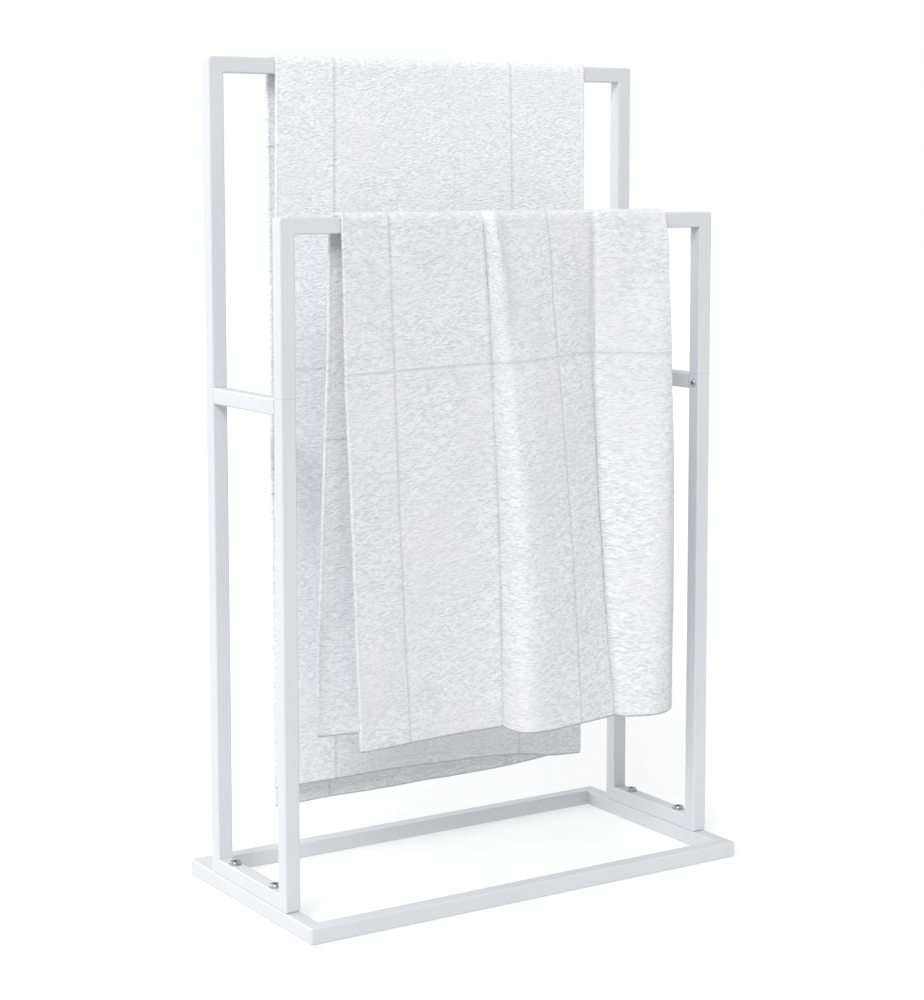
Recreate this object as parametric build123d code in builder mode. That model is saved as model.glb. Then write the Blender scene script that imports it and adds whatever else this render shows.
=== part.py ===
"""Free-standing towel rack: two bars on a bolted frame of square steel tube, with two draped towels.

Millimetres. The origin is on the floor, midway between the sides and between front and back.
+Z is up, -Y is the front (the lower bar's side) and +X is the right-hand side seen from the front.
"""
import os

from build123d import *

os.makedirs("parts", exist_ok=True)

# ---------------------------------------------------------------- driving dimensions
WIDTH = 480.0  # outside the left and right uprights
BASE_DEPTH = 245.0  # floor frame, front to back
SIDE_DEPTH = 150.0  # side frames, front to back
REAR_BAR_TOP = 785.0
FRONT_BAR_TOP = 640.0
SEAM_HEIGHT = 480.0  # where the upper frames plug onto the side frames

TUBE = 15.0  # outside of the square tube
WALL = 1.2
TUBE_EDGE_RADIUS = 1.5
FRAME_CORNER_RADIUS = 2.5
MITRE_REACH = 2 * TUBE  # how far a mitre cut runs inwards, past the tube

SPIGOT_CLEARANCE = 0.15
SPIGOT_WALL = 1.5
SPIGOT_LENGTH = 60.0

LEG_SCREW_DROP = 9.0  # below the seam
LEG_SCREW = dict(
    diameter=4.0, length=8.0, head_diameter=7.6, head_height=2.2, crown=3.5, key=2.5, key_depth=1.3,
)
LEG_SCREW_HOLE = 4.5
LEG_NUT_SIDE = 7.0
LEG_NUT_THICKNESS = 3.2

BASE_BOLT_SPACING = 80.0  # between the two bolts of one side
BASE_BOLT = dict(
    diameter=6.0, length=25.0, head_diameter=11.0, head_height=2.3, crown=8.0, key=4.0, key_depth=1.6,
)
BASE_BOLT_HOLE = 6.6
WASHER_DIAMETER = 12.0
WASHER_BORE = 6.4
WASHER_THICKNESS = 1.0
BASE_NUT_ACROSS_FLATS = 10.0
BASE_NUT_THICKNESS = 5.0
THREAD_CLEARANCE = 0.05

TOWEL_THICKNESS = 3.0
TOWEL_CLEARANCE = 0.4  # to the bar, all round
TOWEL_BEND_RADIUS = 1.4  # inside, over the bar's edges
TOWEL_SADDLE_DEPTH = 20.0  # straight part below the top of the bar

# ---------------------------------------------------------------- derived places
HALF_WIDTH = WIDTH / 2
HALF_DEPTH = BASE_DEPTH / 2
HALF_SIDE = SIDE_DEPTH / 2  # the rear uprights' back face; the front uprights mirror it
SIDE_CENTRE = HALF_WIDTH - TUBE / 2
INNER_FACE = HALF_WIDTH - TUBE
UPRIGHT_CENTRE = HALF_SIDE - TUBE / 2
SIDES = {"left": -1, "right": 1}


# ---------------------------------------------------------------- shared shapes
def tube_loop(plane, width, height):
    """A closed rectangle of hollow square tube that stands on the plane, centred on its origin."""
    with BuildPart() as loop:
        with BuildSketch(plane):
            RectangleRounded(width, height, FRAME_CORNER_RADIUS)
            Rectangle(width - 2 * TUBE, height - 2 * TUBE, mode=Mode.SUBTRACT)
        extrude(amount=TUBE)
        flat_faces = loop.faces().filter_by(lambda face: abs(face.normal_at().dot(plane.z_dir)) > 0.99)
        fillet(flat_faces.edges(), TUBE_EDGE_RADIUS)
        with BuildSketch(plane.offset(WALL)):
            Rectangle(width - 2 * WALL, height - 2 * WALL)
            Rectangle(width - 2 * (TUBE - WALL), height - 2 * (TUBE - WALL), mode=Mode.SUBTRACT)
        extrude(amount=TUBE - 2 * WALL, mode=Mode.SUBTRACT)
    return loop.part


def cut_from(loop, plane, outline):
    """The stretch of a loop that lies inside the outline: this is how it is cut into mitred tubes."""
    with BuildPart() as stretch:
        with BuildSketch(plane):
            with BuildLine():
                Polyline(*outline, close=True)
            make_face()
        extrude(amount=TUBE)
        add(loop, mode=Mode.INTERSECT)
    return stretch.part


def drill(centre, direction, diameter, depth):
    """A round hole that starts at centre and runs against the direction."""
    with Locations(Plane(origin=centre, z_dir=direction)):
        Hole(radius=diameter / 2, depth=depth)


def socket_screw(seat, diameter, length, head_diameter, head_height, crown, key, key_depth):
    """A low-headed hex-socket screw whose head sits on the seat plane, pointing along its normal."""
    radius = diameter / 2
    head_radius = head_diameter / 2
    rim = head_height * 0.35
    lead = diameter / 8
    axial = Plane(origin=seat.origin, x_dir=seat.x_dir, z_dir=-seat.y_dir)
    with BuildPart() as screw:
        with BuildSketch(axial):
            with BuildLine():
                flat = Line((0, head_height), (crown / 2, head_height))
                edge = TangentArc(flat @ 1, (head_radius, rim), tangent=flat % 1)
                Polyline(edge @ 1, (head_radius, 0), (radius, 0), (radius, -length + lead),
                         (radius - lead, -length), (0, -length), (0, head_height))
            make_face()
        revolve(axis=Axis(seat.origin, seat.z_dir))
        with BuildSketch(seat.offset(head_height)):
            RegularPolygon(radius=key / 2, side_count=6, major_radius=False)
        extrude(amount=-key_depth, mode=Mode.SUBTRACT)
    return screw.part


def finish(part, name):
    """Label a finished piece and write its file."""
    part.label = name
    export_step(part, f"parts/{name}.step")


# ---------------------------------------------------------------- where the fasteners sit
def leg_screw_seats():
    """Planes on the uprights' inner faces, just under the seam."""
    for side in SIDES.values():
        for y in (-UPRIGHT_CENTRE, UPRIGHT_CENTRE):
            centre = (side * INNER_FACE, y, SEAM_HEIGHT - LEG_SCREW_DROP)
            yield Plane(origin=centre, x_dir=(0, 0, 1), z_dir=(-side, 0, 0))


def base_bolt_places():
    """Centres of the base bolts in plan."""
    for side in SIDES.values():
        for y in (-BASE_BOLT_SPACING / 2, BASE_BOLT_SPACING / 2):
            yield side * SIDE_CENTRE, y


# ---------------------------------------------------------------- floor frame
base_plane = Plane.XY
base_loop = tube_loop(base_plane, WIDTH, BASE_DEPTH)

for name, end in (("base_front_rail", -1), ("base_rear_rail", 1)):
    with BuildPart() as rail:
        add(cut_from(base_loop, base_plane, [
            (-HALF_WIDTH, end * HALF_DEPTH),
            (HALF_WIDTH, end * HALF_DEPTH),
            (HALF_WIDTH - MITRE_REACH, end * (HALF_DEPTH - MITRE_REACH)),
            (-HALF_WIDTH + MITRE_REACH, end * (HALF_DEPTH - MITRE_REACH)),
        ]))
    finish(rail.part, name)

for name, side in SIDES.items():
    with BuildPart() as rail:
        add(cut_from(base_loop, base_plane, [
            (side * HALF_WIDTH, -HALF_DEPTH),
            (side * HALF_WIDTH, HALF_DEPTH),
            (side * (HALF_WIDTH - MITRE_REACH), HALF_DEPTH - MITRE_REACH),
            (side * (HALF_WIDTH - MITRE_REACH), -HALF_DEPTH + MITRE_REACH),
        ]))
        for x, y in base_bolt_places():
            if x * side > 0:
                drill((x, y, TUBE), (0, 0, 1), BASE_BOLT_HOLE, 2 * WALL)
    finish(rail.part, f"base_{name}_rail")

# ---------------------------------------------------------------- side frames, up to the seam
side_height = SEAM_HEIGHT - TUBE  # from the top of the floor frame to the seam

for name, side in SIDES.items():
    lowest_x = side * SIDE_CENTRE - TUBE / 2
    # Local x is the row's Y and local y is the height above the seam.
    side_plane = Plane(origin=(lowest_x, 0, SEAM_HEIGHT), x_dir=(0, 1, 0), z_dir=(1, 0, 0))
    side_loop = tube_loop(side_plane, SIDE_DEPTH, 2 * side_height)

    with BuildPart() as foot:
        add(cut_from(side_loop, side_plane, [
            (-HALF_SIDE, -side_height),
            (HALF_SIDE, -side_height),
            (HALF_SIDE - MITRE_REACH, -side_height + MITRE_REACH),
            (-HALF_SIDE + MITRE_REACH, -side_height + MITRE_REACH),
        ]))
        for x, y in base_bolt_places():
            if x * side > 0:
                drill((x, y, 2 * TUBE), (0, 0, 1), BASE_BOLT_HOLE, TUBE)
    finish(foot.part, f"{name}_foot_tube")

    for place, end in (("front", -1), ("rear", 1)):
        with BuildPart() as upright:
            add(cut_from(side_loop, side_plane, [
                (end * HALF_SIDE, -side_height),
                (end * HALF_SIDE, 0),
                (end * (HALF_SIDE - MITRE_REACH), 0),
                (end * (HALF_SIDE - MITRE_REACH), -side_height + MITRE_REACH),
            ]))
            for seat in leg_screw_seats():
                if seat.origin.X * side > 0 and seat.origin.Y * end > 0:
                    drill(seat.origin, seat.z_dir, LEG_SCREW_HOLE, 2 * WALL)
        finish(upright.part, f"{name}_{place}_lower_upright")

    link_end = (side * SIDE_CENTRE, HALF_SIDE - TUBE, SEAM_HEIGHT - TUBE / 2)
    link_section = Plane(origin=link_end, x_dir=(1, 0, 0), z_dir=(0, -1, 0))
    with BuildPart() as link:
        with BuildSketch(link_section):
            RectangleRounded(TUBE, TUBE, TUBE_EDGE_RADIUS)
            Rectangle(TUBE - 2 * WALL, TUBE - 2 * WALL, mode=Mode.SUBTRACT)
        extrude(amount=SIDE_DEPTH - 2 * TUBE)
    finish(link.part, f"{name}_link_tube")

# ---------------------------------------------------------------- upper frames, above the seam
upper_frames = (
    ("front", TUBE - HALF_SIDE, FRONT_BAR_TOP),
    ("rear", HALF_SIDE, REAR_BAR_TOP),
)
for place, back_face, bar_top in upper_frames:
    rise = bar_top - SEAM_HEIGHT
    # Local x is the row's X and local y is the height above the seam.
    upper_plane = Plane(origin=(0, back_face, SEAM_HEIGHT), x_dir=(1, 0, 0), z_dir=(0, -1, 0))
    upper_loop = tube_loop(upper_plane, WIDTH, 2 * rise)

    with BuildPart() as bar:
        add(cut_from(upper_loop, upper_plane, [
            (-HALF_WIDTH, rise),
            (HALF_WIDTH, rise),
            (HALF_WIDTH - MITRE_REACH, rise - MITRE_REACH),
            (-HALF_WIDTH + MITRE_REACH, rise - MITRE_REACH),
        ]))
    finish(bar.part, f"{place}_towel_bar")

    for name, side in SIDES.items():
        with BuildPart() as upright:
            add(cut_from(upper_loop, upper_plane, [
                (side * HALF_WIDTH, rise),
                (side * HALF_WIDTH, 0),
                (side * (HALF_WIDTH - MITRE_REACH), 0),
                (side * (HALF_WIDTH - MITRE_REACH), rise - MITRE_REACH),
            ]))
        finish(upright.part, f"{name}_{place}_upper_upright")

# ---------------------------------------------------------------- spigots and their fasteners
spigot_side = TUBE - 2 * WALL - 2 * SPIGOT_CLEARANCE
spigot_inner_face = TUBE / 2 - spigot_side / 2 + SPIGOT_WALL  # its cavity, measured from the tube's face

for name, side in SIDES.items():
    for place, end in (("front", -1), ("rear", 1)):
        lowest = SEAM_HEIGHT - SPIGOT_LENGTH / 2
        foot_of_spigot = Plane(origin=(side * SIDE_CENTRE, end * UPRIGHT_CENTRE, lowest))
        with BuildPart() as spigot:
            with BuildSketch(foot_of_spigot):
                RectangleRounded(spigot_side, spigot_side, 1.0)
                Rectangle(spigot_side - 2 * SPIGOT_WALL, spigot_side - 2 * SPIGOT_WALL, mode=Mode.SUBTRACT)
            extrude(amount=SPIGOT_LENGTH)
            for seat in leg_screw_seats():
                if seat.origin.X * side > 0 and seat.origin.Y * end > 0:
                    drill(seat.origin, seat.z_dir, LEG_SCREW_HOLE, TUBE / 2)
        finish(spigot.part, f"{name}_{place}_spigot")

with BuildPart() as leg_screws:
    for seat in leg_screw_seats():
        add(socket_screw(seat, **LEG_SCREW))
finish(leg_screws.part, "leg_screws")

with BuildPart() as leg_nuts:
    for seat in leg_screw_seats():
        with BuildSketch(seat.offset(-spigot_inner_face)):
            Rectangle(LEG_NUT_SIDE, LEG_NUT_SIDE)
            Circle(LEG_SCREW["diameter"] / 2 + THREAD_CLEARANCE, mode=Mode.SUBTRACT)
        extrude(amount=-LEG_NUT_THICKNESS)
finish(leg_nuts.part, "leg_nuts")

with BuildPart() as base_bolts:
    for x, y in base_bolt_places():
        add(socket_screw(Plane(origin=(x, y, 2 * TUBE + WASHER_THICKNESS)), **BASE_BOLT))
finish(base_bolts.part, "base_bolts")

with BuildPart() as base_washers:
    for x, y in base_bolt_places():
        with BuildSketch(Plane(origin=(x, y, 2 * TUBE))):
            Circle(WASHER_DIAMETER / 2)
            Circle(WASHER_BORE / 2, mode=Mode.SUBTRACT)
        extrude(amount=WASHER_THICKNESS)
finish(base_washers.part, "base_washers")

with BuildPart() as base_nuts:
    for x, y in base_bolt_places():
        with BuildSketch(Plane(origin=(x, y, TUBE - WALL))):
            RegularPolygon(radius=BASE_NUT_ACROSS_FLATS / 2, side_count=6, major_radius=False)
            Circle(BASE_BOLT["diameter"] / 2 + THREAD_CLEARANCE, mode=Mode.SUBTRACT)
        extrude(amount=-BASE_NUT_THICKNESS)
finish(base_nuts.part, "base_nuts")


# ---------------------------------------------------------------- towels
def band(plane, centre_line, thickness):
    """A band of even thickness about a wavy line on the plane, closed with straight ends."""
    points = [Vector(*point) for point in centre_line]
    outer, inner = [], []
    for index, point in enumerate(points):
        along = points[min(index + 1, len(points) - 1)] - points[max(index - 1, 0)]
        across = along.normalized().rotate(Axis.Z, 90) * thickness / 2
        outer.append(point - across)
        inner.append(point + across)
    with BuildSketch(plane) as section:
        with BuildLine():
            Spline(*outer)
            Line(outer[-1], inner[-1])
            Spline(*reversed(inner))
            Line(inner[0], outer[0])
        make_face()
    return section.sketch


def spread_straight(centre_line, left, right, y):
    """The same points pulled out straight between left and right, at their shares of the length."""
    points = [Vector(*point) for point in centre_line]
    lengths = [0.0]
    for before, after in zip(points, points[1:]):
        lengths.append(lengths[-1] + (after - before).length)
    return [(left + (right - left) * length / lengths[-1], y) for length in lengths]


def draped_towel(left, right, bar_front, bar_top, front_hem, back_hem, tilt=0.0):
    """A towel hung over a bar: a saddle over the tube and two hanging panels that fold towards their hems.

    A hem is its height above the floor and its line in plan, and the front one may be tilted.
    """
    inside_front = bar_front - TOWEL_CLEARANCE
    inside_back = bar_front + TUBE + TOWEL_CLEARANCE
    inside_top = bar_top + TOWEL_CLEARANCE
    join_height = bar_top - TOWEL_SADDLE_DEPTH
    with BuildPart() as towel:
        with BuildSketch(Plane.YZ.offset(left)):
            with BuildLine():
                outside = FilletPolyline(
                    (inside_front - TOWEL_THICKNESS, join_height),
                    (inside_front - TOWEL_THICKNESS, inside_top + TOWEL_THICKNESS),
                    (inside_back + TOWEL_THICKNESS, inside_top + TOWEL_THICKNESS),
                    (inside_back + TOWEL_THICKNESS, join_height),
                    radius=TOWEL_BEND_RADIUS + TOWEL_THICKNESS,
                )
                inside = FilletPolyline(
                    (inside_front, join_height),
                    (inside_front, inside_top),
                    (inside_back, inside_top),
                    (inside_back, join_height),
                    radius=TOWEL_BEND_RADIUS,
                )
                Line(outside @ 0, inside @ 0)
                Line(outside @ 1, inside @ 1)
            make_face()
        extrude(amount=right - left)
        panels = (
            (inside_front - TOWEL_THICKNESS / 2, front_hem, tilt),
            (inside_back + TOWEL_THICKNESS / 2, back_hem, 0.0),
        )
        for panel_y, (hem_height, hem_line), hem_tilt in panels:
            top_line = spread_straight(hem_line, left, right, panel_y)
            top = band(Plane.XY.offset(join_height), top_line, TOWEL_THICKNESS)
            bottom_plane = Plane(origin=(0, 0, hem_height)).rotated((0, hem_tilt, 0))
            loft([band(bottom_plane, hem_line, TOWEL_THICKNESS), top], ruled=True)
    return towel.part


# Hem lines in plan, left to right: a deep fold left of the middle and a shallow one to its right.
front_towel_front_line = [
    (-170, -93), (-118, -87.5), (-66, -84), (-22, -83.5), (-10, -96), (0, -111), (20, -117.5), (63, -108.5),
    (100, -100.5), (117, -109), (140, -119), (168, -113),
]
front_towel_back_line = [
    (-187, -36), (-148, -43), (-96, -50), (-34, -45), (30, -52), (92, -46), (144, -51), (179, -44),
]
front_towel = draped_towel(
    left=-180, right=178, bar_front=-HALF_SIDE, bar_top=FRONT_BAR_TOP,
    front_hem=(156, front_towel_front_line), back_hem=(163, front_towel_back_line),
)
finish(front_towel, "front_towel")

rear_towel_front_line = [
    (-179, 57), (-128, 55), (-70, 57.5), (-10, 54), (48, 57.5), (104, 54), (146, 57), (180, 55),
]
rear_towel_back_line = [
    (-170, 80), (-118, 83), (-62, 79), (-4, 82), (54, 78.5), (110, 82), (150, 79), (176, 81),
]
rear_towel = draped_towel(
    left=-173, right=179, bar_front=HALF_SIDE - TUBE, bar_top=REAR_BAR_TOP,
    front_hem=(84, rear_towel_front_line), back_hem=(67, rear_towel_back_line), tilt=1.8,
)
finish(rear_towel, "rear_towel")
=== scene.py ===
"""Looks for the two-bar towel rack: finishes for its steel frame, and two draped terry towels.

Metres, in the frame's own axes: +Z is up, -Y is the front and +X is the right-hand side seen from the front.
Each towel is worked out as one layer of cloth, settled by a short cloth simulation, and then given its
thickness, its woven lines, its hems and its pile.
"""
import math

import bpy
import numpy as np
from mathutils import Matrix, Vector


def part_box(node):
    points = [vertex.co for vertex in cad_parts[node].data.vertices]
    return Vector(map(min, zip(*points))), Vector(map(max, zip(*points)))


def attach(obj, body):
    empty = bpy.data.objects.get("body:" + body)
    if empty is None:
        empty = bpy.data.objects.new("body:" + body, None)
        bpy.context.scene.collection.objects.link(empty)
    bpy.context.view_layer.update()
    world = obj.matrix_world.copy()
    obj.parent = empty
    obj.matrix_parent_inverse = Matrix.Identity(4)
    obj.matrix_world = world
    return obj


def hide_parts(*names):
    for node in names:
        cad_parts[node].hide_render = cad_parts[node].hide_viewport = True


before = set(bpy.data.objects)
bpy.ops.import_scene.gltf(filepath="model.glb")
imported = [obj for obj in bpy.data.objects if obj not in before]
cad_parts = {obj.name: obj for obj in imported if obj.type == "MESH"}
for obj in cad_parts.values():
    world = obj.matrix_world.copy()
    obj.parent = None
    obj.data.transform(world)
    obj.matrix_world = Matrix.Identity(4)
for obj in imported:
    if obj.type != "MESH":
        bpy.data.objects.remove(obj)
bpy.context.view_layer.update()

# ---------------------------------------------------------------- places read from the frame
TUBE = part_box("front_towel_bar")[1].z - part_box("front_towel_bar")[0].z
HALF_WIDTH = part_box("base_front_rail")[1].x
HALF_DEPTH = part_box("base_rear_rail")[1].y
HALF_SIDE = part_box("left_foot_tube")[1].y
SEAM_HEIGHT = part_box("left_front_lower_upright")[1].z
BAR_TOPS = {place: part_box(f"{place}_towel_bar")[1].z for place in ("front", "rear")}

# ---------------------------------------------------------------- cloth
CLOTH_THICKNESS = 0.0030
BAR_GAP = 0.0004  # between the cloth and the bar
SADDLE_BEND = 0.0052  # radius of the cloth's middle layer over the bar's edges
SOFT_BEND = 0.0060  # how far the panels' folds are rounded off across the cloth
CREASE_BEND = 0.0012  # and at a crease
CREASE_REACH = 0.014  # how far from a crease its sharper bend is felt
CREASE_CORE = 0.3  # share of that reach that is fully sharp
PANEL_STEP = 0.0005  # spacing at which a panel's folds are rounded off
PANEL_MARGIN = 0.03  # and how far past its sides
CREST_LIFT = 0.12  # share of a lift off the bar that also raises the cloth over it
# Columns of points at a crease, in millimetres from it.
CREASE_STEPS = (-8, -6, -4.4, -3.2, -2.1, -1, 0, 1, 2.1, 3.2, 4.4, 6, 8)
FINE_ACROSS = 0.0036
FINE_ALONG = 0.0038
RIM = 0.0016  # width of the rounded edge
RIM_STEPS = (0.0, 0.08, 0.3, 0.62, 1.0)  # shares of the rim at which it has a row of points
LINE_STEPS = (-1.3, -0.6, 0.0, 0.6, 1.3)  # rows of points at a woven line, in half widths
LINE_HALF_WIDTH = 0.0011
LINE_DEPTH = 0.00022
GROOVE_FLOOR = 0.2  # half width of a groove's flat floor, in half widths of its line
GROOVE_EDGE = 1.3  # and of its upper edges
HEM_WIDTH = 0.012  # at the two ends
SELVEDGE_WIDTH = 0.004  # along the two sides
HEM_RAISE = 0.00020
HEM_STEP = 0.0015  # width of the step up to a hem or a selvedge
HEM_GROOVE = 0.6  # depth of the groove beside a hem, as a share of a woven line's
SELVEDGE_GROOVE = 0.3  # and beside a selvedge
CORNER_RADIUS = 0.003
TINY = 1e-9  # keeps a division from being by zero

# ---------------------------------------------------------------- unevenness of the cloth
SWELL_DEPTH = 0.0016  # broad, slow waves in and out
SWELL_SIZE = (0.075, 0.16)  # across and along the cloth
RIPPLE_DEPTH = 0.0007  # smaller waves on them
RIPPLE_SIZE = (0.03, 0.05)
SWAY = 0.0005  # slow waves to the sides
SWAY_SIZE = (0.2, 0.09)
FREE_FROM, FREE_BY = 0.02, 0.5  # shares of the way down over which the waves grow
WRINKLE_FADE = (0.35, 1.15)  # shares of its length over which a wrinkle dies out
WRINKLE_START = 0.008  # distance below the bar over which it starts
CRINKLE_HEIGHT = 0.00016  # of the terry's crinkles
CRINKLE_SIZE = (0.013, 0.0062)
TUFT_HEIGHT = 0.00010
TUFT_SIZE = (0.0075, 0.0055)

# ---------------------------------------------------------------- simulation
COARSE = 0.009  # spacing of the simulated cloth
SETTLING_FRAMES = 26
HEM_PIN = 0.04  # how firmly a point is held away from the bar, where 1 is fixed
PIN_FADE = 0.2  # share of the way down over which the hold fades to that
BUCKLE = 2.2  # columns of the simulated cloth over which its narrow buckles are evened out
MOST_SETTLING = 0.004  # how far the simulation may move a point


# ---------------------------------------------------------------- small helpers
def smooth_step(low, high, value):
    share = np.clip((value - low) / (high - low), 0.0, 1.0)
    return share * share * (3.0 - 2.0 * share)


def lerp(a, b, share):
    return a + (b - a) * share


def new_object(name, data):
    made = bpy.data.objects.new(name, data)
    bpy.context.scene.collection.objects.link(made)
    return made


def wander(seed, across, along, size_across, size_along):
    """Smooth seeded noise from -1 to 1 on a grid, with bumps of about the given sizes.

    Its knots reach one step before the grid, and two or more past it.
    """
    random = np.random.default_rng(seed)
    columns = int(np.ptp(across) / size_across) + 5
    rows = int(np.ptp(along) / size_along) + 5
    knots = random.uniform(-1.0, 1.0, (rows, columns, 1))
    u = (across - across.min()) / size_across + 1.0
    v = (along - along.min()) / size_along + 1.0
    return resample(knots, v, u)[..., 0]


def cubic_weights(places, count):
    """For each place, four neighbouring indices of a row of knots and their Catmull-Rom weights."""
    first = np.clip(np.floor(places).astype(int), 0, count - 2)
    f = places - first
    weights = np.stack([
        -0.5 * f + f**2 - 0.5 * f**3,
        1.0 - 2.5 * f**2 + 1.5 * f**3,
        0.5 * f + 2.0 * f**2 - 1.5 * f**3,
        -0.5 * f**2 + 0.5 * f**3,
    ])
    indices = np.clip(first + np.arange(-1, 3)[:, None], 0, count - 1)
    return indices, weights


def resample(knots, rows, columns):
    """Smooth values between a grid of knots, at every pair of a row place and a column place."""
    indices, weights = cubic_weights(rows, knots.shape[0])
    along = sum(knots[i] * w[:, None, None] for i, w in zip(indices, weights))
    indices, weights = cubic_weights(columns, knots.shape[1])
    return sum(along[:, i] * w[None, :, None] for i, w in zip(indices, weights))


def slope(places, values):
    return (values[1] - values[0]) / (places[1] - places[0])


def rounded(values, spread):
    """A row of values with its corners rounded off by a bell-shaped average of the given spread."""
    reach = int(math.ceil(3 * spread))
    kernel = np.exp(-0.5 * (np.arange(-reach, reach + 1) / spread) ** 2)
    padded = np.pad(values, reach, mode="edge")
    return np.convolve(padded, kernel / kernel.sum(), mode="valid")


# ---------------------------------------------------------------- the towels' shapes
class Panel:
    """One hanging side of a towel, given by a few of its lengthwise threads from left to right.

    Each thread has its x on the bar, how far it stands off the bar, its place at the hem, its haste and its
    rise. Above 1, haste takes it to its place at the hem early on the way down, and below 1 late. Rise is
    how much higher it hangs half way down. The threads at creases are named by their numbers.
    """

    def __init__(self, threads, creases=()):
        self.bar_x, self.bar_lift, hem_x, hem_y, hem_z, self.haste, self.rise = np.array(threads).T
        self.hem = np.stack([hem_x, hem_y, hem_z], axis=1)
        on_bar = np.hypot(np.diff(self.bar_x), np.diff(self.bar_lift))
        at_hem = np.linalg.norm(np.diff(self.hem, axis=0), axis=1)
        self.marks = np.concatenate([[0.0], np.cumsum((on_bar + at_hem) / 2)])
        self.width = self.marks[-1]
        self.creases = self.marks[list(creases)]

    def across(self, share, values):
        """The threads' values at each share of the width, rounded off softly, and less so at the creases."""
        fine = np.arange(-PANEL_MARGIN, self.width + PANEL_MARGIN, PANEL_STEP)
        raw = np.interp(fine, self.marks, values)
        raw += np.where(fine < 0, fine * slope(self.marks[:2], values[:2]), 0.0)
        raw += np.where(fine > self.width, (fine - self.width) * slope(self.marks[-2:], values[-2:]), 0.0)
        soft = rounded(raw, SOFT_BEND / PANEL_STEP)
        if len(self.creases):
            away = np.abs(fine[:, None] - self.creases[None, :]).min(axis=1)
            sharp = rounded(raw, CREASE_BEND / PANEL_STEP)
            soft = lerp(sharp, soft, smooth_step(CREASE_CORE, 1.0, away / CREASE_REACH))
        return np.interp(share * self.width, fine, soft)


class Towel:
    """A towel over a bar: the front panel, a saddle over the tube and the back panel.

    lines_across are the lengthwise woven lines, as shares of the width. lines_along are the crosswise ones,
    as distances from the middle of the saddle, towards the back. The darkness given for each crease is that
    of the painted shade along it.
    """

    def __init__(self, place, front, back, lines_across, lines_along, seed, pressed=(), wrinkles=()):
        self.place, self.front, self.back, self.seed = place, front, back, seed
        self.pressed, self.wrinkles = pressed, wrinkles
        bar_low, bar_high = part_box(f"{place}_towel_bar")
        off = BAR_GAP + CLOTH_THICKNESS / 2
        self.front_y = bar_low.y - off
        self.back_y = bar_high.y + off
        self.crown = bar_high.z + off
        self.bend_z = self.crown - SADDLE_BEND
        self.width = (front.width + back.width) / 2
        self.front_length = self.bend_z - float(front.hem[:, 2].mean())
        self.back_length = self.bend_z - float(back.hem[:, 2].mean())
        self.flat_top = self.back_y - self.front_y - 2 * SADDLE_BEND
        self.saddle = math.pi * SADDLE_BEND + self.flat_top
        self.length = self.front_length + self.saddle + self.back_length
        self.lines_across = [share * self.width for share in lines_across]
        self.creases = [mark / panel.width * self.width for panel in (front, back) for mark in panel.creases]
        self.lines_along = [self.front_length + self.saddle / 2 + distance for distance in lines_along]

    def hang(self, panel, share, down, bar_y, outwards):
        """Points of one panel: share across, and down from 0 at the bar to 1 at the hem."""
        haste = panel.across(share, panel.haste)
        early = 1.0 - (1.0 - down[:, None]) ** np.maximum(haste, 1.0)[None, :]
        late = down[:, None] ** (1.0 / np.minimum(haste, 1.0))[None, :]
        opening = np.where(haste[None, :] < 1.0, late, early)
        bar_x = panel.across(share, panel.bar_x)
        start_y = bar_y + outwards * panel.across(share, panel.bar_lift)
        hem = [panel.across(share, panel.hem[:, axis]) for axis in range(3)]
        x = lerp(bar_x[None, :], hem[0][None, :], opening)
        y = lerp(start_y[None, :], hem[1][None, :], opening)
        z = lerp(self.bend_z, hem[2][None, :], down[:, None])
        z = z + 4 * (down * (1 - down))[:, None] * panel.across(share, panel.rise)[None, :]
        return np.stack([x, y, z], axis=2)

    def over_bar(self, share, run):
        """Points of the saddle, run along it from the front panel to the back one."""
        quarter = math.pi / 2 * SADDLE_BEND
        first = np.clip(run, 0.0, quarter) / SADDLE_BEND
        last = np.clip(run - quarter - self.flat_top, 0.0, quarter) / SADDLE_BEND
        flat = np.clip(run - quarter, 0.0, self.flat_top)
        y = self.front_y + SADDLE_BEND * (1 - np.cos(first)) + flat + SADDLE_BEND * np.sin(last)
        z = self.bend_z + SADDLE_BEND * np.sin(first) - SADDLE_BEND * (1 - np.cos(last))
        to_back = smooth_step(0.0, 1.0, run / self.saddle)[:, None]
        front_x = self.front.across(share, self.front.bar_x)
        back_x = self.back.across(share, self.back.bar_x)
        x = lerp(front_x, back_x, to_back)
        lift_front = self.front.across(share, self.front.bar_lift)
        lift_back = self.back.across(share, self.back.bar_lift)
        lift = lerp(lift_front, lift_back, to_back)
        y = y[:, None] - lift * np.cos(first)[:, None] + lift * np.sin(last)[:, None]
        z = z[:, None] + CREST_LIFT * lift * (np.sin(first) * np.cos(last))[:, None]
        return np.stack([x, y, z], axis=2)

    def rest(self, across, along):
        """The cloth's middle layer before it settles, on a grid of distances along and across it."""
        share = across / self.width
        back_start = self.front_length + self.saddle
        on_front = along < self.front_length
        on_back = along > back_start
        down_front = 1.0 - along[on_front] / self.front_length
        down_back = (along[on_back] - back_start) / self.back_length
        return np.concatenate([
            self.hang(self.front, share, down_front, self.front_y, -1.0),
            self.over_bar(share, along[~on_front & ~on_back] - self.front_length),
            self.hang(self.back, share, down_back, self.back_y, 1.0),
        ])

    def below_bar(self, along):
        """How far each distance along the cloth is below the bar's top edges, from 0 to 1 at the hems."""
        front = 1.0 - along / self.front_length
        back = (along - self.front_length - self.saddle) / self.back_length
        return np.clip(np.maximum(front, back), 0.0, 1.0)


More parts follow.
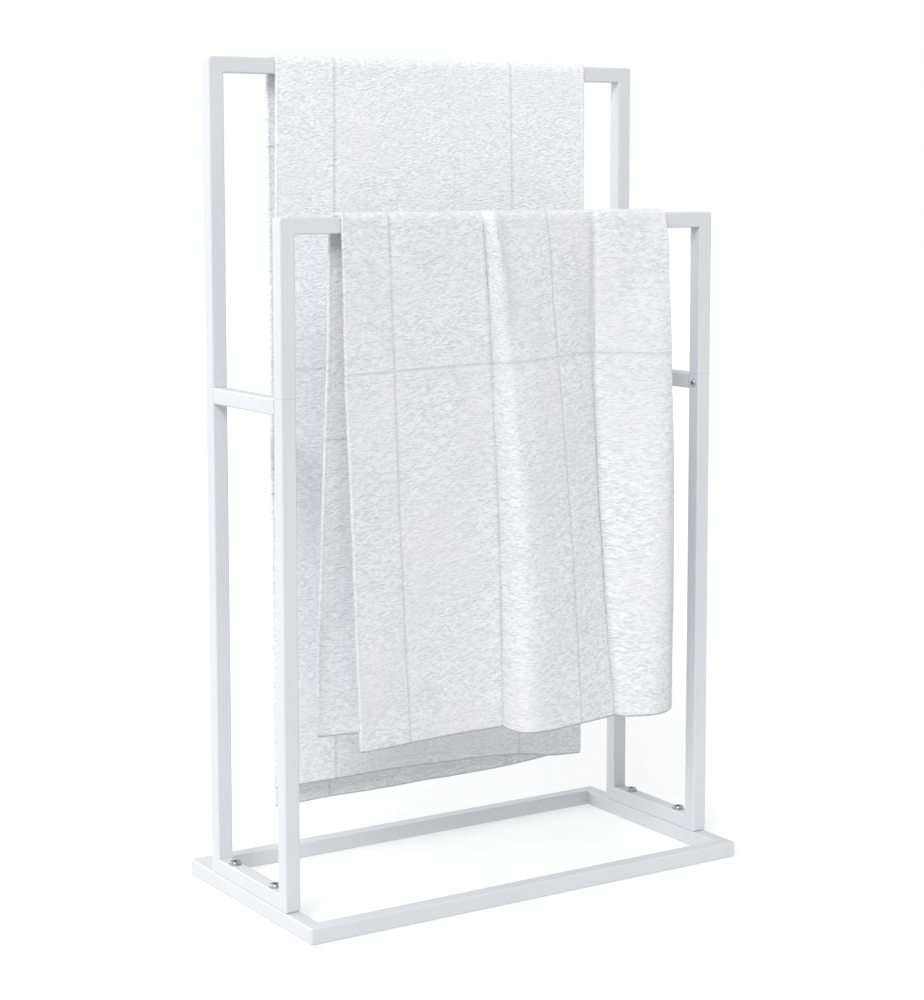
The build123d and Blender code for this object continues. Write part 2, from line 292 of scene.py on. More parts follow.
def settle(towel):
    """Lets the coarse cloth settle under its weight, held over the bar, and says how its points moved."""
    columns = int(round(towel.width / COARSE)) + 1
    rows = int(round(towel.length / COARSE)) + 1
    across = np.linspace(0.0, towel.width, columns)
    along = np.linspace(0.0, towel.length, rows)
    rest = towel.rest(across, along)
    cloth = new_object("settling", grid_mesh("settling", rest))
    pinned = cloth.vertex_groups.new(name="pinned")
    below = towel.below_bar(along)
    for row in range(rows):
        weight = float(lerp(1.0, HEM_PIN, smooth_step(0.0, PIN_FADE, below[row])))
        pinned.add(list(range(row * columns, (row + 1) * columns)), weight, "REPLACE")
    modifier = cloth.modifiers.new("settling", "CLOTH")
    set_up_cloth(modifier.settings)
    modifier.collision_settings.use_collision = False
    modifier.point_cache.frame_start = 1
    modifier.point_cache.frame_end = SETTLING_FRAMES
    for step in range(1, SETTLING_FRAMES + 1):
        bpy.context.scene.frame_set(step)
    settled = cloth.evaluated_get(bpy.context.evaluated_depsgraph_get()).to_mesh()
    points = np.zeros(rows * columns * 3)
    settled.vertices.foreach_get("co", points)
    bpy.context.scene.frame_set(1)
    bpy.data.objects.remove(cloth)
    moved = points.reshape(rows, columns, 3) - rest
    moved[..., 2] -= moved[..., 2].mean(axis=1, keepdims=True)
    for row in moved:
        row[:] = np.stack([rounded(row[:, axis], BUCKLE) for axis in range(3)], axis=1)
    far = np.linalg.norm(moved, axis=2, keepdims=True)
    return moved * np.minimum(1.0, MOST_SETTLING / np.maximum(far, TINY))


def set_up_cloth(settings):
    """A heavy, damped terry that bends softly."""
    settings.quality = 6
    settings.mass = 0.4
    settings.air_damping = 2.0
    settings.tension_stiffness = 25.0
    settings.compression_stiffness = 18.0
    settings.shear_stiffness = 8.0
    settings.bending_stiffness = 0.8
    settings.vertex_group_mass = "pinned"
    settings.pin_stiffness = 0.6
    settings.shrink_min = -0.012


def grid_mesh(name, points):
    """A plain one-layer mesh of a grid of points."""
    rows, columns = points.shape[:2]
    index = np.arange(rows * columns).reshape(rows, columns)
    quads = np.stack([index[:-1, :-1], index[:-1, 1:], index[1:, 1:], index[1:, :-1]], axis=2).reshape(-1, 4)
    mesh = bpy.data.meshes.new(name)
    mesh.from_pydata(points.reshape(-1, 3).tolist(), [], quads.tolist())
    return mesh


def places_with_detail(length, spacing, hem, lines, creases=()):
    """Places along a side: evenly spaced ones, and more at rims, hem stitches, woven lines and creases."""
    detail = [RIM * step for step in RIM_STEPS]
    detail += [hem + step * LINE_HALF_WIDTH for step in (-1, 0, 1)]
    special = detail + [length - place for place in detail]
    special += [line + step * LINE_HALF_WIDTH for line in lines for step in LINE_STEPS]
    special += [crease + step / 1000 for crease in creases for step in CREASE_STEPS]
    special = np.array(sorted(place for place in special if 0.0 <= place <= length))
    count = int(round(length / spacing)) + 1
    even = np.linspace(0.0, length, count)
    least_gap = 0.35 * spacing
    far = np.abs(even[:, None] - special[None, :]).min(axis=1) > least_gap
    return np.sort(np.concatenate([even[far], special]))


def groove(places, lines, depth, half_width):
    """How deep the woven lines cut at each place."""
    if not lines:
        return np.zeros(len(places))
    away = np.abs(places[:, None] - np.array(lines)[None, :]).min(axis=1)
    return depth * (1.0 - smooth_step(GROOVE_FLOOR * half_width, GROOVE_EDGE * half_width, away))


def half_thickness(towel, across, along):
    """Half of the cloth's thickness on the grid: woven lines, raised hems and a rounded rim."""
    edge_across = np.minimum(across, towel.width - across)
    edge_along = np.minimum(along, towel.length - along)
    half = np.full((len(along), len(across)), CLOTH_THICKNESS / 2)
    half -= groove(across, towel.lines_across, LINE_DEPTH, LINE_HALF_WIDTH)[None, :]
    half -= groove(along, towel.lines_along, LINE_DEPTH, LINE_HALF_WIDTH)[:, None]
    half -= groove(edge_across, [SELVEDGE_WIDTH], LINE_DEPTH * SELVEDGE_GROOVE, LINE_HALF_WIDTH)[None, :]
    half -= groove(edge_along, [HEM_WIDTH], LINE_DEPTH * HEM_GROOVE, LINE_HALF_WIDTH)[:, None]
    hem_across = 1.0 - smooth_step(SELVEDGE_WIDTH - HEM_STEP, SELVEDGE_WIDTH, edge_across)
    hem_along = 1.0 - smooth_step(HEM_WIDTH - HEM_STEP, HEM_WIDTH, edge_along)
    half += HEM_RAISE * np.maximum(hem_across[None, :], hem_along[:, None])
    edge = np.minimum(edge_across[None, :], edge_along[:, None])
    inwards = np.clip(edge / RIM, 0.0, 1.0)
    return half * np.sqrt(1.0 - (1.0 - inwards) ** 2)


def surface_normals(points):
    """Unit normals of a grid of points. On a towel they point towards the bar."""
    across = np.gradient(points, axis=1)
    along = np.gradient(points, axis=0)
    normals = np.cross(along, across)
    return normals / np.linalg.norm(normals, axis=2, keepdims=True)


def terry_towel(name, towel):
    """The finished towel: both faces of the settled cloth, closed around the rim."""
    across = places_with_detail(towel.width, FINE_ACROSS, SELVEDGE_WIDTH, towel.lines_across, towel.creases)
    along = places_with_detail(towel.length, FINE_ALONG, HEM_WIDTH, towel.lines_along)
    middle = towel.rest(across, along)
    moved = settle(towel)
    rows, columns = moved.shape[:2]
    middle += resample(moved, along / towel.length * (rows - 1), across / towel.width * (columns - 1))
    middle += undulation(towel, across, along)
    middle[..., 1] -= wrinkle_height(towel, across, along)
    round_corners(towel, middle, across, along)
    keep_to_its_side(towel, middle, along)
    normals = surface_normals(middle)
    half = half_thickness(towel, across, along)
    fullness = half / (CLOTH_THICKNESS / 2)
    faces = []  # the one by the bar first
    for side in (1.0, -1.0):
        pile = pile_height(towel.seed + int(side), across, along)
        faces.append(middle + normals * (side * half + side * pile * fullness)[..., None])
    mesh = two_faced_mesh(name, faces, across, along)
    return new_object(name, mesh)


def undulation(towel, across, along):
    """Slow unevenness of hanging cloth, growing away from the bar, mostly in and out."""
    free = smooth_step(FREE_FROM, FREE_BY, towel.below_bar(along))[:, None]
    swell = SWELL_DEPTH * wander(towel.seed, across, along, *SWELL_SIZE)
    depth = swell + RIPPLE_DEPTH * wander(towel.seed + 10, across, along, *RIPPLE_SIZE)
    sideways = SWAY * wander(towel.seed + 20, across, along, *SWAY_SIZE)
    return np.stack([sideways * free, depth * free, np.zeros_like(depth)], axis=2)


def wrinkle_height(towel, across, along):
    """How far the short slanting wrinkles stand out of the front panel.

    Each starts and ends at a distance right of the first crease and a distance below the bar, and has a
    height, which dies out towards its end, and a half width.
    """
    below = np.maximum(towel.front_length - along, 0.0)[:, None]
    on_front = (along < towel.front_length)[:, None]
    height = np.zeros((len(along), len(across)))
    for start, top, end, bottom, most, half_width in towel.wrinkles:
        share = (below - top) / (bottom - top)
        ridge = towel.creases[0] + lerp(start, end, share)
        away = (across[None, :] - ridge) / half_width
        height += most * np.exp(-away**2) * (1.0 - smooth_step(*WRINKLE_FADE, share)) * on_front
    return height * smooth_step(0.0, WRINKLE_START, below)


def round_corners(towel, middle, across, along):
    """Draws the four corners in from a right angle to an arc."""
    from_sides = np.minimum(across, towel.width - across)[None, :]
    from_ends = np.minimum(along, towel.length - along)[:, None]
    out = [np.clip(1.0 - distance / CORNER_RADIUS, 0.0, 1.0) for distance in (from_sides, from_ends)]
    inwards = 1.0 - np.maximum(*out) / np.maximum(np.hypot(*out), TINY)
    step_across = np.gradient(middle, axis=1)
    step_along = np.gradient(middle, axis=0)
    step_across /= np.linalg.norm(step_across, axis=2, keepdims=True)
    step_along /= np.linalg.norm(step_along, axis=2, keepdims=True)
    side = np.where(across < towel.width / 2, 1.0, -1.0)[None, :]
    end = np.where(along < towel.length / 2, 1.0, -1.0)[:, None]
    middle += (CORNER_RADIUS * inwards * out[0] * side)[..., None] * step_across
    middle += (CORNER_RADIUS * inwards * out[1] * end)[..., None] * step_along


def keep_to_its_side(towel, middle, along):
    """Keeps the front panel in front of the bar and the back one behind it, so that the towel lifts off."""
    front = along < towel.front_length
    back = along > towel.front_length + towel.saddle
    middle[front, :, 1] = np.minimum(middle[front, :, 1], towel.front_y)
    middle[back, :, 1] = np.maximum(middle[back, :, 1], towel.back_y)


def pile_height(seed, across, along):
    """Height of the terry's crinkles: short ripples that run across the cloth."""
    crinkles = wander(seed + 30, across, along, *CRINKLE_SIZE)
    tufts = wander(seed + 40, across, along, *TUFT_SIZE)
    return CRINKLE_HEIGHT * crinkles + TUFT_HEIGHT * tufts


def two_faced_mesh(name, faces, across, along):
    """A closed mesh of the cloth's two faces, near the bar and far from it, which share the rim's points.

    Its "cloth" attribute gives each point's distances across and along, and 1 on the near face or 0 on the
    far one.
    """
    rows, columns = faces[0].shape[:2]
    near = np.arange(rows * columns).reshape(rows, columns)
    far = near.copy()
    far[1:-1, 1:-1] = rows * columns + np.arange((rows - 2) * (columns - 2)).reshape(rows - 2, columns - 2)
    points = np.concatenate([faces[0].reshape(-1, 3), faces[1][1:-1, 1:-1].reshape(-1, 3)])
    quads = [
        np.stack([near[:-1, :-1], near[1:, :-1], near[1:, 1:], near[:-1, 1:]], axis=2).reshape(-1, 4),
        np.stack([far[:-1, :-1], far[:-1, 1:], far[1:, 1:], far[1:, :-1]], axis=2).reshape(-1, 4),
    ]
    mesh = bpy.data.meshes.new(name)
    mesh.from_pydata(points.tolist(), [], np.concatenate(quads).tolist())
    mesh.polygons.foreach_set("use_smooth", np.ones(len(mesh.polygons), bool))
    s, t = np.meshgrid(across, along)
    on_near = np.stack([s, t, np.ones_like(s)], axis=2)
    on_far = np.stack([s, t, np.zeros_like(s)], axis=2)[1:-1, 1:-1]
    cloth = mesh.attributes.new("cloth", "FLOAT_VECTOR", "POINT")
    cloth.data.foreach_set("vector", np.concatenate([on_near.reshape(-1, 3), on_far.reshape(-1, 3)]).ravel())
    mesh.update()
    return mesh


# Threads: x on the bar, lift off the bar, then x, y and z at the hem, haste, and rise half way down.
front_towel = Towel(
    place="front",
    front=Panel([
        (-0.1800, 0.0000, -0.1700, -0.0935, 0.1560, 1.00, 0.0000),
        (-0.1300, 0.0000, -0.1115, -0.0865, 0.1560, 1.00, 0.0020),
        (-0.0800, 0.0000, -0.0670, -0.0830, 0.1560, 1.20, 0.0040),
        (-0.0300, 0.0000, -0.0045, -0.0780, 0.1560, 1.80, 0.0050),
        (-0.0292, 0.0060, -0.0065, -0.0840, 0.1560, 1.80, 0.0060),
        (-0.0272, 0.0125, -0.0090, -0.0990, 0.1560, 1.90, 0.0070),
        (-0.0225, 0.0135, -0.0045, -0.1142, 0.1560, 1.90, 0.0075),
        (-0.0160, 0.0075, 0.0020, -0.1173, 0.1560, 1.80, 0.0075),
        (0.0050, 0.0060, 0.0190, -0.1180, 0.1560, 1.70, 0.0075),
        (0.0450, 0.0040, 0.0705, -0.1090, 0.1560, 1.20, 0.0105),
        (0.0850, 0.0015, 0.1035, -0.1015, 0.1560, 0.70, 0.0115),
        (0.0940, 0.0000, 0.1085, -0.1000, 0.1560, 0.50, 0.0118),
        (0.0965, 0.0020, 0.1105, -0.1045, 0.1560, 0.50, 0.0116),
        (0.1010, 0.0050, 0.1150, -0.1120, 0.1560, 0.60, 0.0112),
        (0.1280, 0.0055, 0.1400, -0.1215, 0.1560, 1.20, 0.0105),
        (0.1580, 0.0040, 0.1590, -0.1190, 0.1560, 3.00, 0.0090),
        (0.1775, 0.0050, 0.1695, -0.1110, 0.1570, 4.50, 0.0080),
    ], creases=(3, 11)),
    back=Panel([
        (-0.1810, 0.0, -0.1880, -0.0360, 0.1630, 1.3, 0.0),
        (-0.1400, 0.0, -0.1480, -0.0430, 0.1630, 1.3, 0.0),
        (-0.0900, 0.0, -0.0960, -0.0500, 0.1630, 1.3, 0.0),
        (-0.0300, 0.0, -0.0340, -0.0450, 0.1630, 1.4, 0.0),
        (0.0300, 0.0, 0.0300, -0.0520, 0.1630, 1.4, 0.0),
        (0.0850, 0.0, 0.0920, -0.0460, 0.1630, 1.3, 0.0),
        (0.1350, 0.0, 0.1440, -0.0510, 0.1630, 1.3, 0.0),
        (0.1800, 0.0, 0.1790, -0.0440, 0.1630, 1.3, 0.0),
    ]),
    lines_across=(0.139, 0.657),
    lines_along=(-0.1515, 0.211),
    seed=11,
    # darkness of the painted shade along the two creases
    pressed=(0.43, 0.38),
    wrinkles=[(0.0105, 0.0, 0.0290, 0.062, 0.0042, 0.0055)],
)

rear_towel = Towel(
    place="rear",
    front=Panel([
        (-0.1725, 0.0, -0.1790, 0.0565, 0.0905, 1.3, 0.0),
        (-0.1110, 0.0, -0.1150, 0.0545, 0.0905, 1.3, 0.0),
        (-0.0500, 0.0, -0.0500, 0.0570, 0.0905, 1.3, 0.0),
        (0.0100, 0.0, 0.0180, 0.0540, 0.0895, 1.3, 0.0),
        (0.0850, 0.0, 0.0980, 0.0570, 0.0845, 1.3, 0.0),
        (0.1350, 0.0, 0.1420, 0.0545, 0.0770, 1.3, 0.0),
        (0.1790, 0.0, 0.1790, 0.0560, 0.0745, 1.3, 0.0),
    ]),
    back=Panel([
        (-0.1725, 0.0, -0.1700, 0.0800, 0.0670, 1.3, 0.0),
        (-0.1110, 0.0, -0.1120, 0.0820, 0.0670, 1.3, 0.0),
        (-0.0600, 0.0, -0.0620, 0.0790, 0.0670, 1.3, 0.0),
        (0.0000, 0.0, -0.0040, 0.0820, 0.0670, 1.3, 0.0),
        (0.0850, 0.0, 0.0890, 0.0785, 0.0675, 1.3, 0.0),
        (0.1350, 0.0, 0.1370, 0.0815, 0.0700, 1.3, 0.0),
        (0.1790, 0.0, 0.1750, 0.0800, 0.0740, 1.3, 0.0),
    ]),
    lines_across=(0.180, 0.764),
    lines_along=(-0.304, 0.092, 0.420),
    seed=23,
)


# ---------------------------------------------------------------- materials
COAT_COLOUR = (0.697, 0.722, 0.747, 1)
COAT_SHADE = (0.674, 0.699, 0.725, 1)
COAT_SPECK = (0.60, 0.61, 0.62, 1)
COAT_GAP = (0.40, 0.41, 0.43, 1)
PEEL_HEIGHT = 0.00006
JOINT_LINE = (0.00015, 0.0009)  # distances from a mitre or seam over which its line fades
MITRE_DARKNESS, MITRE_DEPTH = 0.03, 0.00003
SEAM_DARKNESS, SEAM_DEPTH = 0.12, 0.0002
ZINC_DARK = (0.36, 0.37, 0.39, 1)
ZINC_LIGHT = (0.56, 0.57, 0.59, 1)
ZINC_GRAIN = (0.0030, 0.0030, 0.00025)  # size of its turning marks along X, Y and Z
STEEL_DARK = (0.20, 0.20, 0.21, 1)
STEEL_LIGHT = (0.42, 0.42, 0.43, 1)
STEEL_GRAIN = (0.0004, 0.0004, 0.02)
TERRY_TINT = (0.975, 1.005, 1.030)
PINK_TINT = (1.030, 0.960, 1.015)
# Sizes of the terry's patterns across and along the cloth, and in the direction that sets the towels apart.
GRAIN_SIZE = (0.0068, 0.0020, 1.0)
LOOP_SIZE = (0.0044, 0.0015, 1.0)
PATCH_SIZE = (0.060, 0.050, 1.0)
PINK_SIZE = (0.055, 0.060, 0.7)
GRAIN_SHARE, LOOP_SHARE = 0.48, 0.52  # of the pile's height
GRAIN_DRIFT = 0.010  # span over which the grain wanders along the cloth
PILE_HEIGHT = 0.00145
HOLLOW_SHADE_GREY, RAISED_GREY = 0.675, 0.862  # between the pile's tufts, as painted shade, and on them
PATCH_GREY = 0.76
PINK_GREY = 0.82
LINE_GREY = 0.55
# grey of the painted shade in a crease's valley
CREASE_SHADE_GREY = 0.5
# grey of the painted shade along the hems' bottom edges
HEM_EDGE_SHADE_GREY = 0.42
STITCH_GREY = 0.62
CREASE_FADE = 0.012  # length below the bar over which a crease's painted shade fades in


class Wiring:
    """Short calls for adding and joining the nodes of one tree, whose main shader is given by name."""

    def __init__(self, owner, shader):
        owner.use_nodes = True
        self.owner = owner
        self.tree = owner.node_tree
        self.shader = self.tree.nodes[shader]

    def node(self, kind, inputs=(), **settings):
        made = self.tree.nodes.new(kind)
        for key, value in settings.items():
            setattr(made, key, value)
        for socket, value in dict(inputs).items():
            self.feed(made.inputs[socket], value)
        return made

    def feed(self, socket, value):
        if isinstance(value, bpy.types.NodeSocket):
            self.tree.links.new(value, socket)
        else:
            socket.default_value = value

    def set(self, **values):
        for name, value in values.items():
            self.feed(self.shader.inputs[name.replace("_", " ")], value)

    def math(self, operation, a, b=0.0, c=0.0):
        made = self.node("ShaderNodeMath", operation=operation)
        for socket, value in zip(made.inputs, (a, b, c)):
            self.feed(socket, value)
        return made.outputs[0]

    def place(self):
        return self.node("ShaderNodeTexCoord").outputs["Object"]

    def cloth(self):
        return self.node("ShaderNodeAttribute", attribute_name="cloth").outputs["Vector"]

    def split(self, vector):
        return self.node("ShaderNodeSeparateXYZ", {0: vector}).outputs

    def stretch(self, vector, sizes):
        scale = [1.0 / size for size in sizes]
        return self.node("ShaderNodeVectorMath", {0: vector, 1: scale}, operation="MULTIPLY").outputs[0]

    def noise(self, vector, scale=1.0, detail=2.0, roughness=0.5):
        values = {"Vector": vector, "Scale": scale, "Detail": detail, "Roughness": roughness}
        return self.node("ShaderNodeTexNoise", values).outputs["Fac"]

    def ranged(self, value, low, high, to_low=0.0, to_high=1.0):
        values = {"Value": value, "From Min": low, "From Max": high, "To Min": to_low, "To Max": to_high}
        return self.node("ShaderNodeMapRange", values, interpolation_type="SMOOTHSTEP").outputs["Result"]

    def mix(self, share, first, second):
        """A mix of two colours, which are this node's sockets 6 and 7 and its output 2."""
        made = self.node("ShaderNodeMix", data_type="RGBA")
        self.feed(made.inputs[0], share)
        self.feed(made.inputs[6], first)
        self.feed(made.inputs[7], second)
        return made.outputs[2]

    def bump(self, height, distance, strength=1.0, below=None):
        values = {"Height": height, "Distance": distance, "Strength": strength}
        if below is not None:
            values["Normal"] = below
        return self.node("ShaderNodeBump", values).outputs["Normal"]


def new_finish(name):
    return Wiring(bpy.data.materials.new(name), "Principled BSDF")


def nearest(finish, value, marks):
    """Distance from a value to the nearest of several marks."""
    distance = None
    for mark in marks:
        away = finish.math("ABSOLUTE", finish.math("SUBTRACT", value, mark))
        distance = away if distance is None else finish.math("MINIMUM", distance, away)
    return distance


def mitre_distance(finish, axes, first, second):
    """Distance to the mitre planes of a tube loop, whose corners are at first and second from the middle."""
    a = finish.math("ABSOLUTE", finish.math("SUBTRACT", finish.math("ABSOLUTE", axes[first[0]]), first[1]))
    b = finish.math("ABSOLUTE", finish.math("SUBTRACT", finish.math("ABSOLUTE", axes[second[0]]), second[1]))
    return finish.math("MULTIPLY", finish.math("ABSOLUTE", finish.math("SUBTRACT", a, b)), math.sqrt(0.5))


def powder_coat(name, mitres, seams=()):
    """Satin white powder coat: fine orange peel, faint unevenness, ground-flush mitres and open seams."""
    finish = new_finish(name)
    place = finish.place()
    axes = finish.split(place)
    clouds = finish.noise(place, scale=9.0, detail=3.0)
    specks = finish.noise(place, scale=1400.0, detail=1.0)
    peel = finish.noise(place, scale=520.0, roughness=0.45)
    colour = finish.mix(finish.ranged(clouds, 0.3, 0.7), COAT_SHADE, COAT_COLOUR)
    colour = finish.mix(finish.ranged(specks, 0.70, 0.80, 0.0, 0.2), colour, COAT_SPECK)
    normal = finish.bump(peel, PEEL_HEIGHT)
    joint_lines = [
        (mitres(finish, axes), MITRE_DARKNESS, MITRE_DEPTH),
        (seam_distance(finish, axes, seams), SEAM_DARKNESS, SEAM_DEPTH),
    ]
    for distance, darkness, depth in joint_lines:
        if distance is None:
            continue
        line = finish.ranged(distance, *JOINT_LINE, 1.0, 0.0)
        colour = finish.mix(finish.math("MULTIPLY", line, darkness), colour, COAT_GAP)
        normal = finish.bump(finish.math("SUBTRACT", 1.0, line), depth, 1.0, normal)
    finish.set(Base_Color=colour, Roughness=finish.ranged(clouds, 0.3, 0.7, 0.38, 0.48), Normal=normal)
    finish.set(Coat_Weight=0.12, Coat_Roughness=0.25, IOR=1.5)
    return finish.owner


def seam_distance(finish, axes, seams):
    """Distance to the nearest open seam, each given as an axis and a place on it."""
    distance = None
    for axis, mark in seams:
        away = nearest(finish, axes[axis], [mark])
        distance = away if distance is None else finish.math("MINIMUM", distance, away)
    return distance


def floor_frame_mitres(finish, axes):
    return mitre_distance(finish, axes, ("X", HALF_WIDTH), ("Y", HALF_DEPTH))


def side_frame_mitres(finish, axes):
    return mitre_distance(finish, axes, ("Y", HALF_SIDE), ("Z", TUBE))


def upper_frame_mitres(top):
    return lambda finish, axes: mitre_distance(finish, axes, ("X", HALF_WIDTH), ("Z", top))


def no_mitres(finish, axes):
    return None


def zinc_plate():
    """Bright zinc on the screws, bolts, nuts and washers, with fine turning marks and a slight bloom."""
    finish = new_finish("zinc_plate")
    place = finish.place()
    bloom = finish.noise(place, scale=160.0, detail=3.0, roughness=0.6)
    grain = finish.noise(finish.stretch(place, ZINC_GRAIN))
    colour = finish.mix(finish.ranged(bloom, 0.3, 0.7), ZINC_DARK, ZINC_LIGHT)
    finish.set(Base_Color=colour, Roughness=finish.ranged(bloom, 0.25, 0.75, 0.24, 0.42), Metallic=1.0)
    finish.set(Normal=finish.bump(grain, 0.00004))
    return finish.owner


def bare_steel():
    """Rolled steel of the spigots, with a lengthwise grain and a darker mill scale in patches."""
    finish = new_finish("bare_steel")
    place = finish.place()
    mill_scale = finish.noise(place, scale=90.0, detail=4.0, roughness=0.6)
    grain = finish.noise(finish.stretch(place, STEEL_GRAIN), detail=3.0)
    colour = finish.mix(finish.ranged(mill_scale, 0.35, 0.65), STEEL_DARK, STEEL_LIGHT)
    finish.set(Base_Color=colour, Roughness=finish.ranged(grain, 0.3, 0.7, 0.34, 0.55), Metallic=1.0)
    finish.set(Normal=finish.bump(grain, 0.00005))
    return finish.owner


def terry(name, towel, tint_seed, pale):
    """White cotton terry: crinkled pile with painted shade in its hollows, thin grey woven lines, stitched
    hems, painted shade along the creases and the hems' bottom edges, and a faint pink cast.

    tint_seed gives the towel its own pattern, and pale is how much lighter it is than its greys.
    """
    finish = new_finish(name)
    cloth = finish.cloth()
    s, t, _ = finish.split(cloth)
    wave = finish.math("SUBTRACT", finish.noise(cloth, scale=70.0), 0.5)
    drifting = finish.math("ADD", t, finish.math("MULTIPLY", wave, GRAIN_DRIFT))
    bent = finish.node("ShaderNodeCombineXYZ", {0: s, 1: drifting, 2: tint_seed}).outputs[0]
    grain = finish.noise(finish.stretch(bent, GRAIN_SIZE), roughness=0.47)
    loops = finish.noise(finish.stretch(bent, LOOP_SIZE), detail=1.0, roughness=0.36)
    patches = finish.noise(finish.stretch(bent, PATCH_SIZE))
    pink = finish.noise(finish.stretch(bent, PINK_SIZE), detail=1.0, roughness=0.4)
    grain_height = finish.math("MULTIPLY", grain, GRAIN_SHARE)
    loop_height = finish.math("MULTIPLY", loops, LOOP_SHARE)
    height = finish.math("ADD", grain_height, loop_height)

    # the pile's hollows are painted darker as shade, and its raised tufts lighter
    deep, raised = (shade(grey * pale, TERRY_TINT) for grey in (HOLLOW_SHADE_GREY, RAISED_GREY))
    colour = finish.mix(finish.ranged(height, 0.32, 0.62), deep, raised)
    patched = finish.ranged(patches, 0.35, 0.70, 0.0, 0.5)
    colour = finish.mix(patched, colour, shade(PATCH_GREY * pale, TERRY_TINT))
    blushed = finish.ranged(pink, 0.50, 0.72, 0.0, 0.37)
    colour = finish.mix(blushed, colour, shade(PINK_GREY * pale, PINK_TINT))
    lengthwise = nearest(finish, s, towel.lines_across)
    crosswise = nearest(finish, t, towel.lines_along)
    woven = finish.math("MINIMUM", lengthwise, crosswise)
    lined = finish.ranged(woven, 0.0007, 0.0024, 0.35, 0.0)
    colour = finish.mix(lined, colour, shade(LINE_GREY, TERRY_TINT))
    # painted shade darkening each crease's valley on the front panel, as dark as given for that crease
    for crease, strength in zip(towel.creases, towel.pressed):
        pressed = finish.ranged(nearest(finish, s, [crease]), 0.0017, 0.0068, strength, 0.0)
        pressed = finish.math("MULTIPLY", pressed, on_front(finish, t, towel))
        colour = finish.mix(pressed, colour, shade(CREASE_SHADE_GREY, TERRY_TINT))
    # painted shade along the rounded bottom edges of both hems
    hem_edge_shade = finish.ranged(nearest(finish, t, [0.0, towel.length]), 0.0009, 0.0026, 0.72, 0.0)
    colour = finish.mix(hem_edge_shade, colour, shade(HEM_EDGE_SHADE_GREY, TERRY_TINT))
    from_stitches = nearest(finish, t, [HEM_WIDTH, towel.length - HEM_WIDTH])
    stitched = finish.ranged(from_stitches, 0.0003, 0.0010, 0.12, 0.0)
    colour = finish.mix(stitched, colour, shade(STITCH_GREY, TERRY_TINT))

    pile = finish.math("MULTIPLY", height, finish.ranged(woven, 0.0006, 0.0022, 0.72, 1.0))
    finish.set(Base_Color=colour, Roughness=finish.ranged(height, 0.3, 0.7, 0.98, 0.86))
    finish.set(Normal=finish.bump(pile, PILE_HEIGHT), Sheen_Weight=0.2, Sheen_Roughness=0.5)
    finish.set(Specular_IOR_Level=0.15)
    return finish.owner


def on_front(finish, t, towel):
    """1 on the front panel, and 0 over the bar and behind it."""
    return finish.ranged(t, towel.front_length - CREASE_FADE, towel.front_length, 1.0, 0.0)


def shade(grey, tint):
    """A colour of a grey level and a tint."""
    return (*(min(grey * part, 1.0) for part in tint), 1.0)


def plain_floor():
    """A pale matt floor with hardly any grain."""
    finish = new_finish("studio_floor")
    grain = finish.noise(finish.place(), scale=60.0, detail=3.0)
    finish.set(Base_Color=finish.mix(grain, FLOOR_DARK, FLOOR_LIGHT), Roughness=0.9)
    finish.set(Specular_IOR_Level=0.0, Emission_Color=(1.0, 1.0, 1.0, 1.0), Emission_Strength=0.5)
    return finish.owner


def dress(node, material):
    """Gives a CAD node its finish."""
    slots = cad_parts[node].material_slots
    if not slots:
        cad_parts[node].data.materials.append(material)
    for slot in slots:
        slot.material = material


def dress_frame():
    """Finishes for every carried-over CAD node."""
    across_seam = [("Z", SEAM_HEIGHT)]
    link_ends = [("Y", TUBE - HALF_SIDE), ("Y", HALF_SIDE - TUBE)]
    floor_frame = powder_coat("powder_coat_floor_frame", floor_frame_mitres)
    side_frame = powder_coat("powder_coat_side_frames", side_frame_mitres, across_seam)
    link = powder_coat("powder_coat_links", no_mitres, link_ends)
    upper = {}
    for place, top in BAR_TOPS.items():
        upper[place] = powder_coat(f"powder_coat_{place}_frame", upper_frame_mitres(top), across_seam)
    zinc = zinc_plate()
    steel = bare_steel()
    for place in ("front", "rear"):
        dress(f"base_{place}_rail", floor_frame)
        dress(f"{place}_towel_bar", upper[place])
    for side in ("left", "right"):
        dress(f"base_{side}_rail", floor_frame)
        dress(f"{side}_foot_tube", side_frame)
        dress(f"{side}_link_tube", link)
        for place in ("front", "rear"):
            dress(f"{side}_{place}_lower_upright", side_frame)
            dress(f"{side}_{place}_upper_upright", upper[place])
            dress(f"{side}_{place}_spigot", steel)
    for node in ("leg_screws", "leg_nuts", "base_bolts", "base_washers", "base_nuts"):
        dress(node, zinc)


def add_towel(name, towel, node, body, tint_seed, pale):
    piece = terry_towel(name, towel)
    piece.data.materials.append(terry(f"{name}_terry", towel, tint_seed, pale))
    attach(piece, body)
    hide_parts(node)


# ---------------------------------------------------------------- studio
SKY_LIGHT = 0.64
FLOOR_BOUNCE = 0.79
HORIZON_BLEND = 0.05  # height over which the one gives way to the other, each side of the horizon
FLOOR_DARK = (0.50, 0.50, 0.50, 1)
FLOOR_LIGHT = (0.54, 0.54, 0.54, 1)
FLOOR_HALF = 12.0
FLOOR_DROP = 0.0005  # keeps the floor just under the rack
CAMERA_PLACE = (-1.164094, -1.820382, 0.682769)
CAMERA_YAW = -32.942  # degrees about +Z, from looking along +Y
CAMERA_PITCH = -6.07  # degrees above level
CAMERA_LENS = 81.12
CAMERA_SHIFT = (-0.0172, -0.0922)


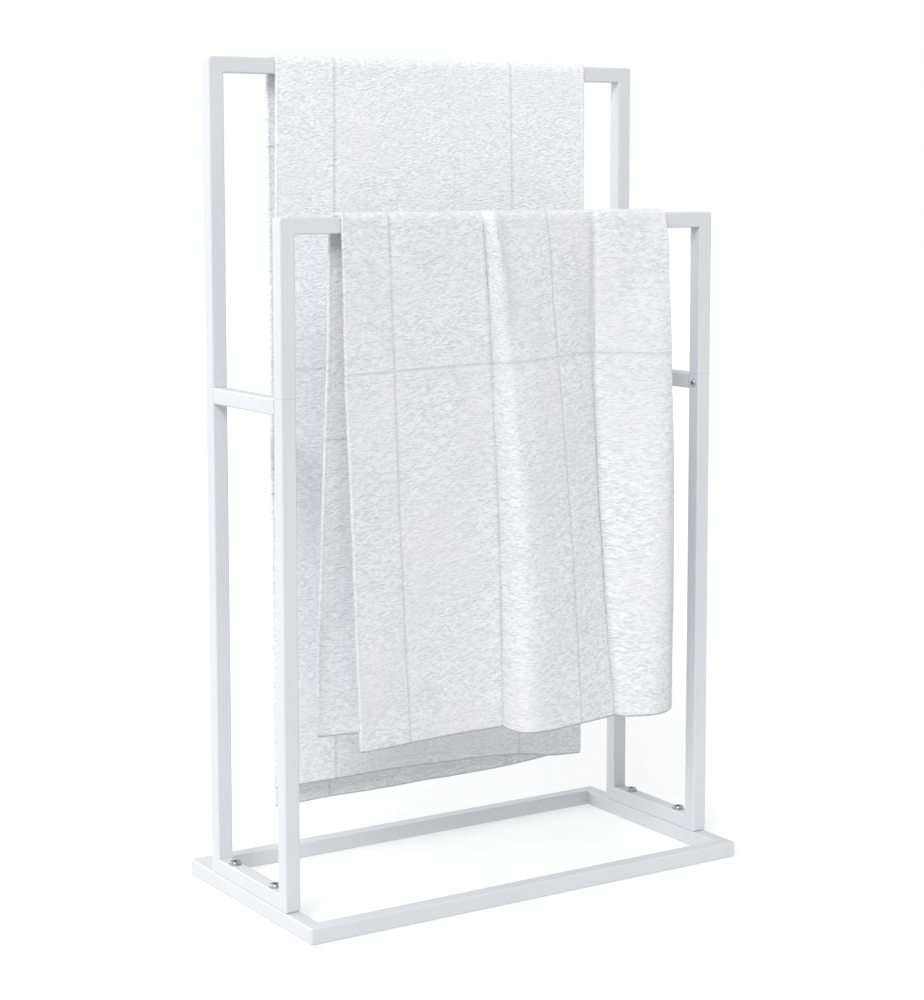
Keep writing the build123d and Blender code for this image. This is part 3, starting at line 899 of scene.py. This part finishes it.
def add_camera():
    """Seen from the front left, from a little above the front bar's height, through a long lens."""
    data = bpy.data.cameras.new("camera")
    camera = new_object("camera", data)
    yaw, pitch = math.radians(CAMERA_YAW), math.radians(CAMERA_PITCH)
    camera.location = CAMERA_PLACE
    camera.rotation_euler = (math.pi / 2 + pitch, 0.0, yaw)
    data.lens = CAMERA_LENS
    data.sensor_width = 36.0
    data.shift_x, data.shift_y = CAMERA_SHIFT
    data.clip_end = 50.0
    bpy.context.scene.camera = camera


def add_floor():
    ends = (-FLOOR_HALF, FLOOR_HALF)
    corners = np.array([[[x, y, 0.0] for x in ends] for y in ends])
    floor = new_object("studio_floor", grid_mesh("studio_floor", corners))
    floor.location.z = -FLOOR_DROP
    floor.data.materials.append(plain_floor())
    floor.visible_diffuse = False  # its bounce is the lower half of the surroundings


def add_sun(name, direction, strength, angle):
    """A distant lamp that shines along the direction, softened by an angle in degrees."""
    data = bpy.data.lights.new(name, "SUN")
    data.energy = strength
    data.angle = math.radians(angle)
    lamp = new_object(name, data)
    lamp.rotation_euler = Vector(direction).to_track_quat("-Z", "Y").to_euler()


def add_surroundings():
    """Soft light from above, the floor's bounce from below, and plain white behind the rack."""
    studio = Wiring(bpy.data.worlds.new("studio"), "Background")
    bpy.context.scene.world = studio.owner
    height = studio.split(studio.node("ShaderNodeTexCoord").outputs["Generated"])["Z"]
    light = studio.ranged(height, -HORIZON_BLEND, HORIZON_BLEND, FLOOR_BOUNCE, SKY_LIGHT)
    seen = studio.node("ShaderNodeLightPath").outputs["Is Camera Ray"]
    studio.set(Color=(1.0, 1.0, 1.0, 1.0), Strength=studio.math("MAXIMUM", seen, light))


def add_lights():
    """A soft key from the front left above, and a broad light from behind on the left."""
    add_sun("key", direction=(0.575, 0.54, -0.62), strength=1.72, angle=24.0)
    add_sun("back_left", direction=(0.5, -0.7, -0.5), strength=1.42, angle=70.0)
    bpy.context.scene.view_settings.view_transform = "Standard"


add_camera()
add_surroundings()
add_lights()
add_floor()
dress_frame()
add_towel("front_terry_towel", front_towel, "front_towel", "towel_front", tint_seed=0.37, pale=1.00)
add_towel("rear_terry_towel", rear_towel, "rear_towel", "towel_rear", tint_seed=0.81, pale=1.13)
